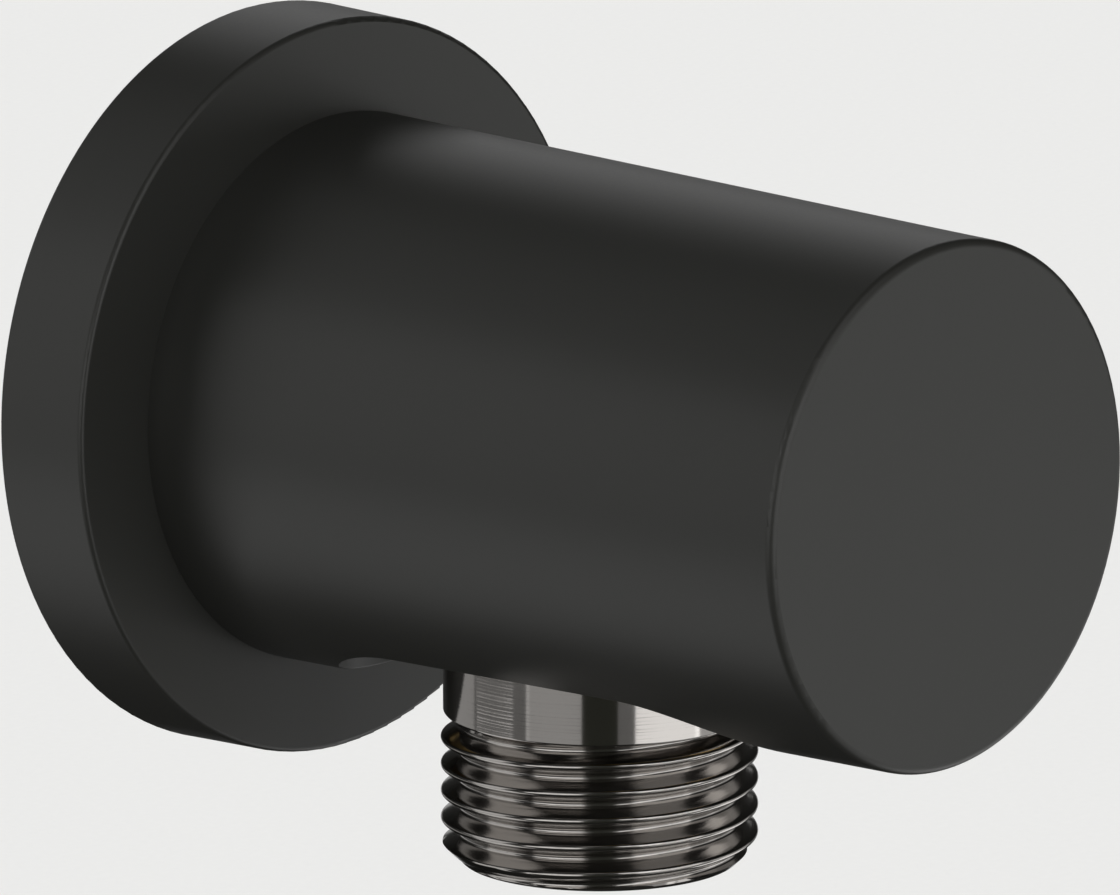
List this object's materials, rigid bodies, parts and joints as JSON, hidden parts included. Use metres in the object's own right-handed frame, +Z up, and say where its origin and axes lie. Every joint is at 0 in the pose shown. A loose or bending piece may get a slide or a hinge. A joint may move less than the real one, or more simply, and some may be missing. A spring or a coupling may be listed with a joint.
{
  "type": "wall outlet elbow",
  "caption": "Shower wall outlet elbow: black flange and tapered barrel cover over a brass body, threaded outlet nipple pointing down, non-return valve inside.",
  "frame": {"origin": "centre of the flange's wall face, on the barrel's axis", "axes": "+Y into the wall, -Y along the barrel away from the wall, -Z along the outlet nipple, +Z up"},
  "size_m": [0.05, 0.0746, 0.0533],
  "materials": {
    "black_cover": "matt black coat with a soft sheen",
    "dark_nipple": "dark bright plating",
    "body_brass": "turned brass",
    "black_rubber": "smooth black rubber",
    "gasket_rubber": "moulded dark grey rubber",
    "valve_plastic": "moulded white plastic",
    "poppet_plastic": "moulded blue plastic",
    "spring_steel": "bright drawn wire",
    "screw_steel": "stainless steel"
  },
  "bodies": {
    "fitting": {"wall_nipple": "body_brass", "rear_plug_ring": "black_rubber", "front_plug_ring": "black_rubber", "grub_screw": "screw_steel", "elbow_body": "body_brass", "inlet_seal": "black_rubber", "rear_grip_ring": "black_rubber", "front_grip_ring": "black_rubber", "cover": "black_cover", "wall_gasket": "gasket_rubber", "outlet_nipple": "dark_nipple", "nipple_seal": "black_rubber", "valve_housing": "valve_plastic", "cartridge_ring": "black_rubber", "valve_guide": "valve_plastic", "valve_spring": "spring_steel"},
    "poppet": {"valve_poppet": "poppet_plastic", "valve_seal": "black_rubber"}
  },
  "joints": [
    {"name": "valve_lift", "type": "slide", "parent": "fitting", "child": "poppet", "axis": [0, 0, -1], "range_m": [0, 0.003], "stiffness_N_per_m": 120, "springref_m": -0.0012, "deforming": ["valve_spring"]}
  ]
}
